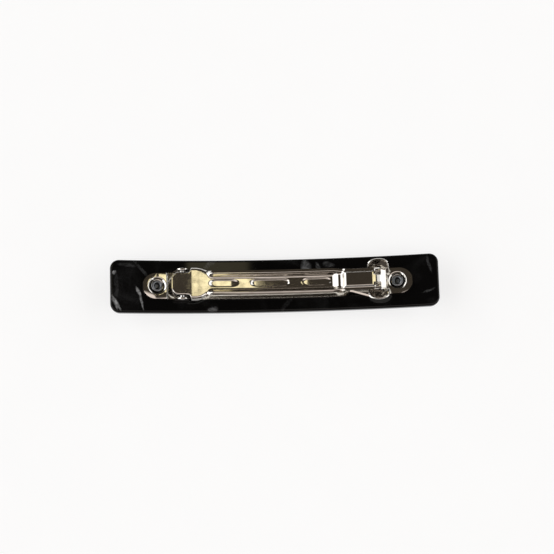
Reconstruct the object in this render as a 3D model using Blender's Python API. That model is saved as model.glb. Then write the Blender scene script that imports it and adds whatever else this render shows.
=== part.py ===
"""A French-clip barrette: a bowed acetate bar with a stamped, nickel-plated steel clip riveted to its back.

The bar lies on its convex front with the clip on top. +X runs along the bar from the clip's hinge to
its latch, +Y runs across the bar and +Z points up. The origin is under the middle of the bar, on the
narrow flat facet that the bar rests on.

Every piece of the clip follows the bow of the bar, so most shapes are written as (x, y, n): x along
the chord, y across, and n the height above the bar's back face, square to it. on_bar() bends such a
point into place, and station() gives the matrix of the place itself.
"""

from math import asin, cos, pi, radians, sin, sqrt

import bmesh
import bpy
from mathutils import Matrix, Vector

MM = 0.001

# The bar
BAR_CHORD = 97.1 * MM
BAR_WIDTH = 15.8 * MM
BAR_THICKNESS = 3.9 * MM
BAR_SAGITTA = 6.05 * MM
BAR_CORNER = 2.7 * MM
BACK_ROUND = 0.4 * MM
FRONT_ROUND = 1.2 * MM
FRONT_ROUND_HEIGHT = 2.0 * MM
BAR_STRIPS = 25

# Sheet metal, and the gaps between neighbours
SHEET = 0.5 * MM
SPRING_SHEET = 0.3 * MM
REST_GAP = 0.3 * MM
RUNNING_GAP = 0.06 * MM

# The base plate: an 80 mm clip, set a little towards the latch
BASE_LEFT = -39.1 * MM
BASE_RIGHT = 40.9 * MM
BASE_HALF_WIDTH = 4.0 * MM
BASE_TOP = REST_GAP + SHEET
BASE_WAIST = 2.7 * MM
BASE_FLARE = 4.4 * MM
PAD_TOP = 1.4 * MM
PAD_HALF_WIDTH = 3.85 * MM
RIVET_LEFT = -35.0 * MM
RIVET_RIGHT = 36.5 * MM
DISH_RADIUS = 2.6 * MM
DISH_FLOOR_RADIUS = 1.9 * MM
DISH_RIM = 0.06 * MM
DISH_SEAM = 0.2 * MM

# Rivets, closed into blind holes in the bar
RIVET_HEAD_RADIUS = 1.65 * MM
RIVET_HEAD = 0.35 * MM
RIVET_SHANK_RADIUS = 1.05 * MM
RIVET_BORE_RADIUS = 0.5 * MM
RIVET_BORE_DEPTH = 1.5 * MM
RIVET_DEPTH = 1.9 * MM

# The hinge
PIN_X = -27.9 * MM
PIN_HEIGHT = 3.9 * MM
PIN_RADIUS = 0.8 * MM
PIN_NEAR_END = -4.75 * MM
PIN_FAR_END = 4.9 * MM
EAR_INSIDE = 3.65 * MM
EAR_OUTSIDE = 4.1 * MM
EAR_RADIUS = 1.75 * MM
EAR_FOOT = 5.2 * MM

# The latch
LATCH_X = 30.9 * MM
PRONG_WIDTH = 1.6 * MM
PRONG_OUTSIDE = 2.6 * MM
PRONG_FOOT = 1.2 * MM
BARB_UNDERSIDE = 7.2 * MM
BARB_REACH = 0.55 * MM
BARB_HEIGHT = 0.85 * MM
WINDOW_LENGTH = 2.2 * MM
WINDOW_INSIDE = 1.0 * MM
WINDOW_OUTSIDE = 2.75 * MM
WING_LENGTH = 6.4 * MM
WING_ROOT_HEIGHT = 3.6 * MM
WING_REACH = 4.4 * MM
WING_ARCH = 1.0 * MM
WING_TILT = radians(30)

BAR_RADIUS = ((BAR_CHORD / 2) ** 2 + BAR_SAGITTA**2) / (2 * BAR_SAGITTA)
FACET_ANGLE = asin(BAR_CHORD / 2 / BAR_RADIUS) / BAR_STRIPS
FACET_HALF = BAR_RADIUS * sin(FACET_ANGLE)
CENTRE_HEIGHT = sqrt((BAR_RADIUS + BAR_THICKNESS) ** 2 - FACET_HALF**2)


def on_bar(x, y, n):
    """The place of a point above chord position x, at height n above the bar's bowed back face."""
    angle = asin(x / BAR_RADIUS)
    reach = BAR_RADIUS - n
    return Vector((reach * sin(angle), y, CENTRE_HEIGHT - reach * cos(angle)))


def station(x, n=0.0):
    """The matrix of a place over the back face: its z is square to the bar, its x follows the bow."""
    turn = Matrix.Rotation(-asin(x / BAR_RADIUS), 4, "Y")
    return Matrix.Translation(on_bar(x, 0, n)) @ turn


def material(name, colour, roughness, metallic):
    made = bpy.data.materials.new(name)
    made.use_nodes = True
    shader = made.node_tree.nodes["Principled BSDF"]
    shader.inputs["Base Color"].default_value = (*colour, 1)
    shader.inputs["Roughness"].default_value = roughness
    shader.inputs["Metallic"].default_value = metallic
    return made


def new_object(name, bm, finish, smooth_angle=radians(35)):
    """An object from a bmesh in world space, with its faces turned out."""
    bmesh.ops.remove_doubles(bm, verts=bm.verts, dist=0.001 * MM)
    bmesh.ops.recalc_face_normals(bm, faces=bm.faces)
    mesh = bpy.data.meshes.new(name)
    bm.to_mesh(mesh)
    bm.free()
    mesh.shade_smooth()
    mesh.set_sharp_from_angle(angle=smooth_angle)
    obj = bpy.data.objects.new(name, mesh)
    bpy.context.scene.collection.objects.link(obj)
    if finish:
        mesh.materials.append(finish)
    return obj


def set_origin(obj, matrix):
    """Moves an object's origin to a pivot, and leaves its surface where it is."""
    obj.data.transform(matrix.inverted())
    obj.matrix_world = matrix


def boolean(obj, other, operation):
    """Cuts or joins with a helper object, which is then hidden."""
    modifier = obj.modifiers.new(f"{operation.lower()} {other.name}", "BOOLEAN")
    modifier.operation = operation
    modifier.solver = "EXACT"
    modifier.object = other
    other.hide_render = True
    other.display_type = "WIRE"


def loft(rows, strips=False):
    """A closed solid from equally long loops of points, one after the other.

    Its two ends are flat, or else rows of strips that join each point to the one opposite.
    """
    bm = bmesh.new()
    loops = [[bm.verts.new(point) for point in row] for row in rows]
    count = len(rows[0])
    for first, second in zip(loops, loops[1:]):
        for i in range(count):
            j = (i + 1) % count
            bm.faces.new((first[i], first[j], second[j], second[i]))
    for end in (loops[0], loops[-1]):
        if not strips:
            bm.faces.new(end)
            continue
        for i in range(count // 2 - 1):
            bm.faces.new((end[i], end[i + 1], end[-i - 2], end[-i - 1]))
    return bm


def offset_below(section, thickness):
    """The underside of a bent sheet: its (y, n) section moved by the thickness, mitred at each bend."""
    sides = []
    for (y0, n0), (y1, n1) in zip(section, section[1:]):
        length = sqrt((y1 - y0) ** 2 + (n1 - n0) ** 2)
        sides.append(Vector(((n1 - n0) / length, (y0 - y1) / length)))
    moved = []
    for i, point in enumerate(section):
        before = sides[max(i - 1, 0)]
        after = sides[min(i, len(sides) - 1)]
        mitre = (before + after).normalized()
        moved.append(Vector(point) + mitre * thickness / mitre.dot(after))
    return moved


def pressed_sheet(sections, thickness):
    """A pressed metal strip. sections is a list of (x, section), each section a row of (y, n) points."""
    rows = []
    for x, section in sections:
        under = offset_below(section, thickness)
        loop = list(section) + under[::-1]
        rows.append([on_bar(x, y, n) for y, n in loop])
    return loft(rows)


def turned(profile, sides):
    """A solid turned about z from a closed profile of (radius, height) points."""
    bm = bmesh.new()
    rings = []
    for radius, height in profile:
        if radius == 0:
            rings.append([bm.verts.new((0, 0, height))] * sides)
            continue
        turns = [2 * pi * i / sides for i in range(sides)]
        rings.append([bm.verts.new((radius * cos(t), radius * sin(t), height)) for t in turns])
    for first, second in zip(rings, rings[1:] + rings[:1]):
        for i in range(sides):
            j = (i + 1) % sides
            corners = list(dict.fromkeys((first[i], first[j], second[j], second[i])))
            if len(corners) > 2:
                bm.faces.new(corners)
    return bm


def extruded(outline, thickness):
    """A plate from an outline in its own x and y, with its faces at z = 0 and z = thickness."""
    return loft([[Vector((x, y, z)) for x, y in outline] for z in (0, thickness)])


def helper(name, bm, matrix):
    """A cutter or a piece to be joined, placed by a matrix."""
    bm.transform(matrix)
    return new_object(name, bm, None)


def box(name, low, high, matrix):
    bm = bmesh.new()
    bmesh.ops.create_cube(bm, size=1)
    size = Vector(high) - Vector(low)
    middle = (Vector(high) + Vector(low)) / 2
    bm.transform(Matrix.Translation(middle) @ Matrix.Diagonal((*size, 1)))
    return helper(name, bm, matrix)


def rod(name, radius, start, end, x, n, sides):
    """A round bar along Y, from y = start to y = end."""
    bm = turned([(0, start), (radius, start), (radius, end), (0, end)], sides)
    return helper(name, bm, station(x, n) @ Matrix.Rotation(-pi / 2, 4, "X"))


def between(stations, x):
    """The values at x on straight runs between stations, each station being (x, value, value...)."""
    for first, second in zip(stations, stations[1:]):
        if x <= second[0]:
            share = (x - first[0]) / (second[0] - first[0])
            return [a + (b - a) * share for a, b in zip(first[1:], second[1:])]
    return list(stations[-1][1:])


def bar_outline(inset):
    """The bar's plan outline, moved in by an inset: the far side left to right, then the near side back."""
    radius = BAR_CORNER - inset
    end = BAR_CHORD / 2 - inset
    side = BAR_WIDTH / 2 - inset
    turns = [pi / 2 * i / 5 for i in range(6)]
    corner = [(end - radius * (1 - cos(turn)), side - radius * (1 - sin(turn))) for turn in turns]
    cuts = [BAR_RADIUS * sin(FACET_ANGLE * (2 * i - BAR_STRIPS)) for i in range(2, BAR_STRIPS - 1)]
    far = [(-x, y) for x, y in corner] + [(x, side) for x in cuts] + corner[::-1]
    return far + [(x, -y) for x, y in reversed(far)]


def acetate_bar(finish):
    """The bowed bar: outlines from back to front, well rounded in front, with upright ends."""
    turns = [pi / 2 * i / 3 for i in range(4)]
    rings = [(BACK_ROUND * (1 - sin(turn)), BACK_ROUND * (cos(turn) - 1)) for turn in turns]
    for turn in reversed(turns):
        rings.append((FRONT_ROUND * (1 - sin(turn)), FRONT_ROUND_HEIGHT * (1 - cos(turn)) - BAR_THICKNESS))
    loops = []
    for inset, n in rings:
        upright = BAR_RADIUS / (BAR_RADIUS - n)
        loops.append([on_bar(x * upright, y, n) for x, y in bar_outline(inset)])
    obj = new_object("acetate_bar", loft(loops, strips=True), finish)
    hole_radius = RIVET_SHANK_RADIUS + REST_GAP
    for place, x in (("hinge", RIVET_LEFT), ("latch", RIVET_RIGHT)):
        floor = -RIVET_DEPTH - REST_GAP
        profile = [(0, floor), (hole_radius, floor), (hole_radius, 1 * MM), (0, 1 * MM)]
        cutter = helper(f"rivet hole, {place} end", turned(profile, 24), station(x))
        boolean(obj, cutter, "DIFFERENCE")
    return obj


# Half-widths of the base plate between its round ends, and heights of its top, both along x
BASE_SIDES = (
    (BASE_LEFT, PAD_HALF_WIDTH),
    (-32.2 * MM, PAD_HALF_WIDTH),
    (-30.9 * MM, BASE_HALF_WIDTH),
    (20.6 * MM, BASE_HALF_WIDTH),
    (22.2 * MM, BASE_WAIST),
    (22.8 * MM, BASE_WAIST),
    (28.1 * MM, BASE_FLARE),
    (32.4 * MM, 4.2 * MM),
    (34.5 * MM, PAD_HALF_WIDTH),
    (BASE_RIGHT, PAD_HALF_WIDTH),
)
BASE_LEVELS = (
    (BASE_LEFT, PAD_TOP),
    (-32.2 * MM, PAD_TOP),
    (-31.6 * MM, BASE_TOP),
    (32.4 * MM, BASE_TOP),
    (33.6 * MM, PAD_TOP),
    (BASE_RIGHT, PAD_TOP),
)


def base_half_width(x):
    """Half the width of the base plate: round pads, a straight strip, and a waist before the latch."""
    for end, towards in ((BASE_LEFT, 1), (BASE_RIGHT, -1)):
        depth = (x - end) * towards
        if depth < PAD_HALF_WIDTH:
            return sqrt(PAD_HALF_WIDTH**2 - (PAD_HALF_WIDTH - depth) ** 2)
    return between(BASE_SIDES, x)[0]


def base_plate(finish):
    """The strip, with a dished rivet seat at each end and two ears for the hinge pin."""
    round_ends = [PAD_HALF_WIDTH * (1 - cos(pi / 2 * i / 6)) for i in range(1, 7)]
    xs = [BASE_LEFT + step for step in round_ends] + [BASE_RIGHT - step for step in round_ends]
    bends = {x for x, value in BASE_SIDES[1:-1] + BASE_LEVELS[1:-1]}
    xs += [*bends, *(x * MM for x in range(-28, 18, 5))]
    sections = []
    for x in sorted(xs):
        half = base_half_width(x)
        top = between(BASE_LEVELS, x)[0]
        sections.append((x, [(-half, top), (0, top), (half, top)]))
    obj = new_object("base_plate", pressed_sheet(sections, SHEET), finish)
    rim = PAD_TOP + DISH_RIM
    hole = RIVET_SHANK_RADIUS + REST_GAP
    dish = [
        (DISH_RADIUS + DISH_SEAM, rim),
        (DISH_RADIUS, rim),
        (DISH_FLOOR_RADIUS, BASE_TOP),
        (hole, BASE_TOP),
        (hole, REST_GAP),
        (DISH_FLOOR_RADIUS + DISH_SEAM, REST_GAP),
        (DISH_RADIUS + DISH_SEAM, PAD_TOP - SHEET - DISH_RIM),
    ]
    for place, x in (("hinge", RIVET_LEFT), ("latch", RIVET_RIGHT)):
        through = DISH_RADIUS + DISH_SEAM / 3
        profile = [(0, 0), (through, 0), (through, 3 * MM), (0, 3 * MM)]
        opening = helper(f"dish opening, {place} end", turned(profile, 28), station(x))
        boolean(obj, opening, "DIFFERENCE")
        seat = helper(f"dish, {place} end", turned(dish, 28), station(x))
        boolean(obj, seat, "UNION")
    foot = EAR_FOOT / 2
    arc = [pi * i / 10 for i in range(11)]
    lug = [(EAR_RADIUS * cos(turn), PIN_HEIGHT + EAR_RADIUS * sin(turn)) for turn in arc]
    outline = [(-foot, REST_GAP + SHEET / 3), (foot, REST_GAP + SHEET / 3)] + lug
    upright = Matrix.Rotation(pi / 2, 4, "X")
    for side, outside in (("near", -EAR_INSIDE), ("far", EAR_OUTSIDE)):
        placing = station(PIN_X) @ Matrix.Translation((0, outside, 0)) @ upright
        ear = helper(f"ear, {side} side", extruded(outline, EAR_OUTSIDE - EAR_INSIDE), placing)
        boolean(obj, ear, "UNION")
    bore = rod("pin bore, ears", PIN_RADIUS + RUNNING_GAP, -9 * MM, 9 * MM, PIN_X, PIN_HEIGHT, 24)
    boolean(obj, bore, "DIFFERENCE")
    return obj


def rivet(name, x, finish):
    """A tubular rivet: its head lies in the dish, and its shank stands in the bar's blind hole."""
    under_head = REST_GAP + SHEET + REST_GAP
    top = under_head + RIVET_HEAD
    bevel = RIVET_HEAD / 2
    profile = [
        (0, -RIVET_DEPTH),
        (RIVET_SHANK_RADIUS, -RIVET_DEPTH),
        (RIVET_SHANK_RADIUS, under_head),
        (RIVET_HEAD_RADIUS, under_head),
        (RIVET_HEAD_RADIUS, top - bevel),
        (RIVET_HEAD_RADIUS - bevel, top),
        (RIVET_BORE_RADIUS, top),
        (RIVET_BORE_RADIUS, top - RIVET_BORE_DEPTH),
        (0, top - RIVET_BORE_DEPTH),
    ]
    obj = new_object(name, turned(profile, 24), finish)
    obj.matrix_world = station(x)
    return obj


# The three beads pressed into the arm's floor, as start and end, all in millimetres
BEADS = ((-20.3, -10.9), (-7.8, 4.7), (7.7, 17.4))
BEAD_END = 2.0
BEAD_HALF_WIDTH = 1.25
BEAD_DEPTH = 0.38


def bead_depth(x, y):
    """How far the arm's floor is pressed down at a point given in millimetres."""
    for start, end in BEADS:
        along = min(x - start, end - x)
        if along > 0 and abs(y) < BEAD_HALF_WIDTH:
            return BEAD_DEPTH * min(1, along / BEAD_END) * (1 - (y / BEAD_HALF_WIDTH) ** 2)
    return 0.0


# The clasp arm from tail to lip: x, then across the arm the half-width and height of three folds: the
# edge of its floor, the top of its side, and its own edge. All are in millimetres. Past the folds the
# sheet hangs down as cheeks at the hinge, stands up and over as stiffening rails along the middle, and
# makes a lower ledge beside the raised panel at the latch.
ARM_STATIONS = (
    (-31.3, 1.4, 5.64, 1.6, 5.00, 1.75, 4.30),
    (-31.0, 2.2, 5.68, 2.4, 4.95, 2.5, 4.10),
    (-30.4, 3.0, 5.70, 3.1, 4.60, 3.2, 3.50),
    (-29.6, 3.3, 5.72, 3.36, 4.20, 3.42, 2.70),
    (-26.6, 3.3, 5.73, 3.36, 4.20, 3.42, 2.60),
    (-25.9, 3.5, 5.73, 3.55, 4.80, 3.60, 3.90),
    (-25.5, 4.2, 5.73, 4.55, 5.10, 4.85, 4.40),
    (-23.6, 4.2, 5.73, 4.60, 5.10, 4.90, 4.40),
    (-22.4, 3.9, 5.72, 4.30, 5.15, 4.65, 4.60),
    (-21.4, 3.3, 5.71, 3.75, 5.30, 4.20, 4.90),
    (-20.5, 2.3, 5.69, 3.00, 5.85, 3.70, 5.40),
    (-19.8, 1.85, 5.68, 2.88, 6.60, 3.58, 6.00),
    (-19.0, 1.75, 5.66, 2.86, 6.95, 3.62, 6.34),
    (-12.0, 1.75, 5.53, 2.86, 7.00, 3.62, 6.38),
    (17.5, 1.75, 5.30, 2.86, 7.00, 3.62, 6.38),
    (18.9, 1.85, 6.20, 2.75, 6.95, 3.50, 6.40),
    (20.1, 1.95, 6.30, 2.50, 6.90, 3.30, 6.70),
    (21.3, 2.00, 7.60, 2.25, 7.00, 3.20, 6.90),
    (29.3, 2.00, 7.60, 2.25, 7.00, 3.20, 6.85),
    (30.6, 2.20, 7.36, 2.45, 6.95, 3.20, 6.80),
    (32.0, 2.60, 6.80, 2.80, 6.60, 3.20, 6.30),
    (33.5, 2.40, 5.40, 2.60, 5.20, 2.90, 4.90),
)


def clasp_arm(finish):
    """The upper jaw: one pressed strip with cheeks on the pin and two windows for the latch prongs."""
    stops = {row[0] for row in ARM_STATIONS}
    stops |= {-17.5 + 1.6 * i for i in range(22)}
    sections = []
    for x in sorted(stops):
        floor_half, floor, top_half, top, edge_half, edge = between(ARM_STATIONS, x)
        ys = [-BEAD_HALF_WIDTH, -BEAD_HALF_WIDTH / 2, 0, BEAD_HALF_WIDTH / 2, BEAD_HALF_WIDTH]
        section = [(-edge_half, edge), (-top_half, top), (-floor_half, floor)]
        section += [(y, floor - bead_depth(x, y)) for y in ys]
        section += [(floor_half, floor), (top_half, top), (edge_half, edge)]
        sections.append((x * MM, [(y * MM, n * MM) for y, n in section]))
    obj = new_object("clasp_arm", pressed_sheet(sections, SHEET), finish)
    bore = rod("pin bore, cheeks", PIN_RADIUS + RUNNING_GAP, -9 * MM, 9 * MM, PIN_X, PIN_HEIGHT, 24)
    boolean(obj, bore, "DIFFERENCE")
    half = WINDOW_LENGTH / 2
    for side, low, high in (
        ("near", -WINDOW_OUTSIDE, -WINDOW_INSIDE),
        ("far", WINDOW_INSIDE, WINDOW_OUTSIDE),
    ):
        corners = ((-half, low, 5 * MM), (half, high, 9 * MM))
        boolean(obj, box(f"prong window, {side} side", *corners, station(LATCH_X)), "DIFFERENCE")
    set_origin(obj, station(PIN_X, PIN_HEIGHT))
    return obj


def hinge_pin(finish):
    obj = rod("hinge_pin", PIN_RADIUS, PIN_NEAR_END, PIN_FAR_END, PIN_X, PIN_HEIGHT, 24)
    obj.data.materials.append(finish)
    set_origin(obj, station(PIN_X, PIN_HEIGHT))
    return obj


def ribbon(path, thickness, half_width):
    """A strip of spring steel: a path of (x, z) points with thickness to its right, as wide as given."""
    under = offset_below(path, thickness)
    outline = [Vector(point) for point in path] + under[::-1]
    return loft([[Vector((x, y, z)) for x, z in outline] for y in (-half_width, half_width)])


# x and height of the spring's leaf, in millimetres
SPRING_BOW = (
    (-26.5, 3.06),
    (-24, 3.15),
    (-18, 3.35),
    (-8, 3.5),
    (4, 3.2),
    (13, 2.75),
    (19, 2.3),
    (21.5, 2.25),
)


def tension_spring(finish):
    """A bowed leaf with an eye round the hinge pin. Its free end floats over the base plate."""
    pin = on_bar(PIN_X, 0, PIN_HEIGHT)
    eye = PIN_RADIUS + RUNNING_GAP
    start = radians(-12)
    sweep = radians(276)
    path = []
    for i in range(19):
        turn = start + sweep * i / 18
        path.append((pin.x + eye * cos(turn), pin.z + eye * sin(turn)))
    for x, n in SPRING_BOW:
        place = on_bar(x * MM, 0, n * MM)
        path.append((place.x, place.z))
    obj = new_object("tension_spring", ribbon(path, SPRING_SHEET, 1.8 * MM), finish)
    set_origin(obj, station(PIN_X, PIN_HEIGHT))
    return obj


def latch_prong(name, side, finish):
    """One half of the latch: a foot, an upright with a barb over the arm, and a finger wing."""
    inside = PRONG_OUTSIDE - SHEET
    foot_under = BASE_TOP + REST_GAP
    barb = PRONG_OUTSIDE + BARB_REACH
    outline = [
        (inside - PRONG_FOOT, foot_under),
        (PRONG_OUTSIDE, foot_under),
        (PRONG_OUTSIDE, BARB_UNDERSIDE),
        (barb, BARB_UNDERSIDE),
        (barb, BARB_UNDERSIDE + BARB_HEIGHT / 3),
        (PRONG_OUTSIDE, BARB_UNDERSIDE + BARB_HEIGHT),
        (inside, BARB_UNDERSIDE + BARB_HEIGHT),
        (inside, foot_under + SHEET),
        (inside - PRONG_FOOT, foot_under + SHEET),
    ]
    place = station(LATCH_X)
    half = PRONG_WIDTH / 2
    bm = loft([[Vector((x, side * y, n)) for y, n in outline] for x in (-half, half)])
    bm.transform(place)
    obj = new_object(name, bm, finish)
    half = WING_LENGTH / 2
    wing_outline = [(-half, 0), (half, 0)]
    for i in range(11):
        u = cos(pi * i / 10)
        wing_outline.append((half * u, WING_REACH - WING_ARCH * (0.8 * u**2 + 0.7 * u**10)))
    tilt = Matrix.Rotation(WING_TILT, 4, "X")
    turn_round = Matrix.Diagonal((1, side, 1, 1))
    hang = Matrix.Translation((0, side * (inside + SHEET / 2), WING_ROOT_HEIGHT))
    wing = helper(f"wing of {name}", extruded(wing_outline, SHEET), place @ hang @ turn_round @ tilt)
    boolean(obj, wing, "UNION")
    set_origin(obj, place @ Matrix.Translation((0, side * PRONG_OUTSIDE, foot_under)))
    return obj


def main():
    for obj in list(bpy.data.objects):
        bpy.data.objects.remove(obj)
    acetate = material("black acetate", (0.012, 0.013, 0.015), 0.08, 0.0)
    nickel = material("nickel plate", (0.72, 0.70, 0.66), 0.12, 1.0)
    pin_steel = material("pin steel", (0.66, 0.65, 0.62), 0.2, 1.0)
    spring_steel = material("spring steel", (0.55, 0.54, 0.52), 0.22, 1.0)
    rivet_metal = material("rivet metal", (0.50, 0.51, 0.52), 0.3, 1.0)
    acetate_bar(acetate)
    base_plate(nickel)
    rivet("rivet_hinge_end", RIVET_LEFT, rivet_metal)
    rivet("rivet_latch_end", RIVET_RIGHT, rivet_metal)
    hinge_pin(pin_steel)
    clasp_arm(nickel)
    tension_spring(spring_steel)
    latch_prong("latch_prong_near", -1, nickel)
    latch_prong("latch_prong_far", 1, nickel)


main()
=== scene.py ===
"""The looks of a French-clip barrette: a bowed black acetate bar with a nickel-plated clip on its back.

Lengths are in metres, and MM turns millimetres into them. The bar is an arc, and every piece of the
clip follows its bow, so most shapes are written as (x, y, n): x along the chord, y across the bar and
n the height square to its back face. on_bar() bends such a point into place.
"""

from math import asin, cos, pi, radians, sin, sqrt

import bmesh
import bpy
import numpy as np
from mathutils import Matrix, Vector


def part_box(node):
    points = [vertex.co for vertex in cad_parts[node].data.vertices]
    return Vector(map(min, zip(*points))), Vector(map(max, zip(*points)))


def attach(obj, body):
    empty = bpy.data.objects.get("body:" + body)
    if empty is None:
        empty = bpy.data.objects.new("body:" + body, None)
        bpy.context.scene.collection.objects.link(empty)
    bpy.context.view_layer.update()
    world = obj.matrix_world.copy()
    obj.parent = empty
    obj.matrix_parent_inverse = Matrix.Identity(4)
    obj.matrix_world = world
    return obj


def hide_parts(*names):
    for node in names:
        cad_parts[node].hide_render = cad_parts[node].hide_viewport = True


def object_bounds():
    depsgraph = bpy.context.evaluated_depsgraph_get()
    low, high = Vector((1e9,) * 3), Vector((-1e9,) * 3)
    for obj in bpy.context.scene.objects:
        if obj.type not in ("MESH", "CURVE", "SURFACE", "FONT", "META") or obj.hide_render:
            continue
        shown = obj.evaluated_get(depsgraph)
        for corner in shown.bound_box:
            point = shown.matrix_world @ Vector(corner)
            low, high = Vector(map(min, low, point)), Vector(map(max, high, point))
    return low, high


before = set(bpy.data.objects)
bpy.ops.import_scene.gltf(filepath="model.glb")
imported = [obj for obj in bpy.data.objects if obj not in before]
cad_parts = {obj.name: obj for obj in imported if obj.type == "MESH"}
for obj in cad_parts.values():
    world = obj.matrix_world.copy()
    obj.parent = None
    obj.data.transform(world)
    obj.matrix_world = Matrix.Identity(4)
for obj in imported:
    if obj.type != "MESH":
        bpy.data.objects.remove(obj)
cad_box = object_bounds()

MM = 0.001

# The bar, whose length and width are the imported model's
BAR_LOW, BAR_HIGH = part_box("acetate_bar")
BAR_CHORD = BAR_HIGH.x - BAR_LOW.x
BAR_WIDTH = BAR_HIGH.y - BAR_LOW.y
BAR_THICKNESS = 3.9 * MM
BAR_SAGITTA = 6.05 * MM
BAR_CORNER = 2.7 * MM
BAR_CUTS = 110
BACK_ROUND = 0.7 * MM
FRONT_ROUND = 1.2 * MM
FRONT_ROUND_HEIGHT = 2.0 * MM
BAR_RADIUS = ((BAR_CHORD / 2) ** 2 + BAR_SAGITTA**2) / (2 * BAR_SAGITTA)
CENTRE_HEIGHT = BAR_RADIUS + BAR_THICKNESS

# Sheet metal, whose pressed and cut edges are rounded by the softness that rounded_sheet() explains
SHEET = 0.5 * MM
SPRING_SHEET = 0.3 * MM
WORN_EDGE = 0.45
CRISP_EDGE = 0.22
CREASE = radians(40)

# Clearances, and cutters that pass right through
REST_GAP = 0.3 * MM
PIN_CLEARANCE = 0.06 * MM
CUTTER_REACH = 9 * MM

# The base plate
BASE_LEFT = -39.1 * MM
BASE_RIGHT = 40.9 * MM
BASE_TOP = 0.8 * MM
PAD_TOP = 1.4 * MM
PAD_HALF_WIDTH = 3.85 * MM
DISH_RADIUS = 2.75 * MM
DISH_FLOOR_RADIUS = 1.75 * MM
LEFT_PAD_FALL = 0.4 * MM
RIGHT_PAD_FALL = 0.12 * MM
PAD_FALL_EASE = (-0.8 * MM, 1.2 * MM)
PAD_REACH = 4 * MM
FLARE_START = 22.4 * MM
FLARE_END = 30.0 * MM
FLARE_FALL = 0.15 * MM
FLARE_MARGIN = 0.55 * MM

# The rivets, their heights over the bar's back face
RIVET_LEFT = -35.0 * MM
RIVET_RIGHT = 36.5 * MM
RIVET_HOLE_RADIUS = 1.35 * MM
RIVET_HOLE_DEPTH = 2.2 * MM
SHANK_RADIUS = 1.05 * MM
SHANK_FOOT = -1.9 * MM
HEAD_RADIUS = 1.7 * MM
HEAD_UNDERSIDE = 1.1 * MM
HEAD_TOP = 1.45 * MM
BORE_RADIUS = 0.6 * MM
BORE_DEPTH = 1.6 * MM

# The hinge
PIN_X = -27.9 * MM
PIN_HEIGHT = 3.9 * MM
PIN_RADIUS = 0.8 * MM
PIN_ENDS = (-4.75 * MM, 4.9 * MM)
EAR_INSIDE = 3.65 * MM
EAR_OUTSIDE = 4.1 * MM
EAR_RADIUS = 1.75 * MM
EAR_FOOT = 5.2 * MM
EAR_BEND = 0.55 * MM

# The tension spring
SPRING_HALF_WIDTH = 1.8 * MM
EYE_START = radians(-12)
EYE_SWEEP = radians(276)

# The latch: its place, the arm's window for each prong, and the prongs with their finger wings
LATCH_X = 30.9 * MM
WINDOW_INSIDE = 1.0 * MM
WINDOW_OUTSIDE = 2.75 * MM
WINDOW_HALF_LENGTH = 1.1 * MM
WINDOW_CORNER = 0.3 * MM
WINDOW_HEIGHTS = (5 * MM, 9 * MM)
PRONG_WIDTH = 1.6 * MM
PRONG_OUTSIDE = 2.6 * MM
PRONG_FOOT = 1.2 * MM
BARB_UNDERSIDE = 7.2 * MM
BARB_REACH = 0.55 * MM
BARB_HEIGHT = 0.85 * MM
WING_LENGTH = 6.2 * MM
WING_ROOT_HEIGHT = 3.6 * MM
WING_REACH = 4.4 * MM
WING_ARCH = 1.0 * MM
WING_TAPER = 0.06
WING_CURL = 0.12 * MM
WING_SHIFT = 0.25 * MM
WING_TILT = radians(30)


def on_bar(x, y, n):
    """The place of a point above chord position x, at height n above the bar's bowed back face."""
    angle = asin(x / BAR_RADIUS)
    reach = BAR_RADIUS - n
    return Vector((reach * sin(angle), y, CENTRE_HEIGHT - reach * cos(angle)))


def station(x, n=0.0):
    """The matrix of a place over the back face: its z is square to the bar, its x follows the bow."""
    turn = Matrix.Rotation(-asin(x / BAR_RADIUS), 4, "Y")
    return Matrix.Translation(on_bar(x, 0, n)) @ turn


def between(stations, x):
    """The values at x on straight runs between stations, each station being (x, value, value...)."""
    if x <= stations[0][0]:
        return list(stations[0][1:])
    for first, second in zip(stations, stations[1:]):
        if x <= second[0]:
            share = (x - first[0]) / (second[0] - first[0])
            return [a + (b - a) * share for a, b in zip(first[1:], second[1:])]
    return list(stations[-1][1:])


def eased(stations, x, spread):
    """The values at x with every corner between the runs rounded off over a distance of twice spread."""
    taps = [-1, -0.6, -0.25, 0, 0.25, 0.6, 1]
    found = [between(stations, x + tap * spread) for tap in taps]
    return [sum(values) / len(taps) for values in zip(*found)]


def quarter_turns(steps):
    """Even angles from 0 to a right angle."""
    return [pi / 2 * i / steps for i in range(steps + 1)]


def even_places(half_width, steps):
    """Even steps from minus a half-width to plus it."""
    return [half_width * (2 * i / steps - 1) for i in range(steps + 1)]


def smooth_step(low, high, value):
    """A smooth rise from 0 at low to 1 at high."""
    share = min(1.0, max(0.0, (value - low) / (high - low)))
    return share * share * (3 - 2 * share)


# ---------------------------------------------------------------- meshes


def new_object(name, bm, crease=CREASE):
    """A smooth-shaded object from a bmesh, with sharp edges where it turns by more than the crease angle."""
    bmesh.ops.remove_doubles(bm, verts=bm.verts, dist=0.0005 * MM)
    bmesh.ops.recalc_face_normals(bm, faces=bm.faces)
    mesh = bpy.data.meshes.new(name)
    bm.to_mesh(mesh)
    bm.free()
    mesh.shade_smooth()
    mesh.set_sharp_from_angle(angle=crease)
    obj = bpy.data.objects.new(name, mesh)
    bpy.context.scene.collection.objects.link(obj)
    return obj


def new_piece(name, bm, body, material, node, crease=CREASE):
    """A piece of the barrette in its place, riding on a body and standing for a CAD node."""
    obj = new_object(name, bm, crease)
    obj.data.materials.append(material)
    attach(obj, body)
    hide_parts(node)
    return obj


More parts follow.
